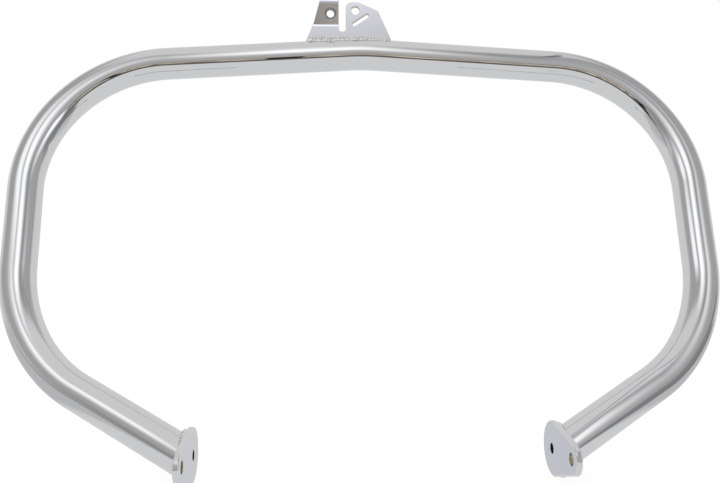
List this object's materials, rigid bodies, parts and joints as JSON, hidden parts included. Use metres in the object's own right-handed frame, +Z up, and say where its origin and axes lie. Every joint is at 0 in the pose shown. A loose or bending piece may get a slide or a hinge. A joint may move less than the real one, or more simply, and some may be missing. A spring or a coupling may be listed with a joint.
{
  "type": "motorcycle crash bars",
  "caption": "Chromed bent-tube engine guard for a motorcycle, with a bolt bracket on its top bar and a bolt plate welded to each leg.",
  "frame": {"origin": "middle of the bolt hole in the top bracket's right tab, in the middle of the sheet's thickness", "axes": "+X along the bar to the right as seen from the front of the picture, -Y towards the viewer, +Z up"},
  "size_m": [0.685, 0.2357, 0.452],
  "materials": {
    "tube_chrome": "mirror-polished chrome plate",
    "plate_chrome": "chrome plate over flat ground sheet, slightly satin",
    "weld_chrome": "chrome plate over rippled weld bead"
  },
  "bodies": {
    "root": {"guard_tube": "tube_chrome", "top_bracket": "plate_chrome", "bracket_weld_nut": "plate_chrome", "left_end_plate": "plate_chrome", "right_end_plate": "plate_chrome", "bracket_front_weld": "weld_chrome", "bracket_rear_weld": "weld_chrome", "left_plate_weld": "weld_chrome", "right_plate_weld": "weld_chrome"}
  },
  "joints": []
}
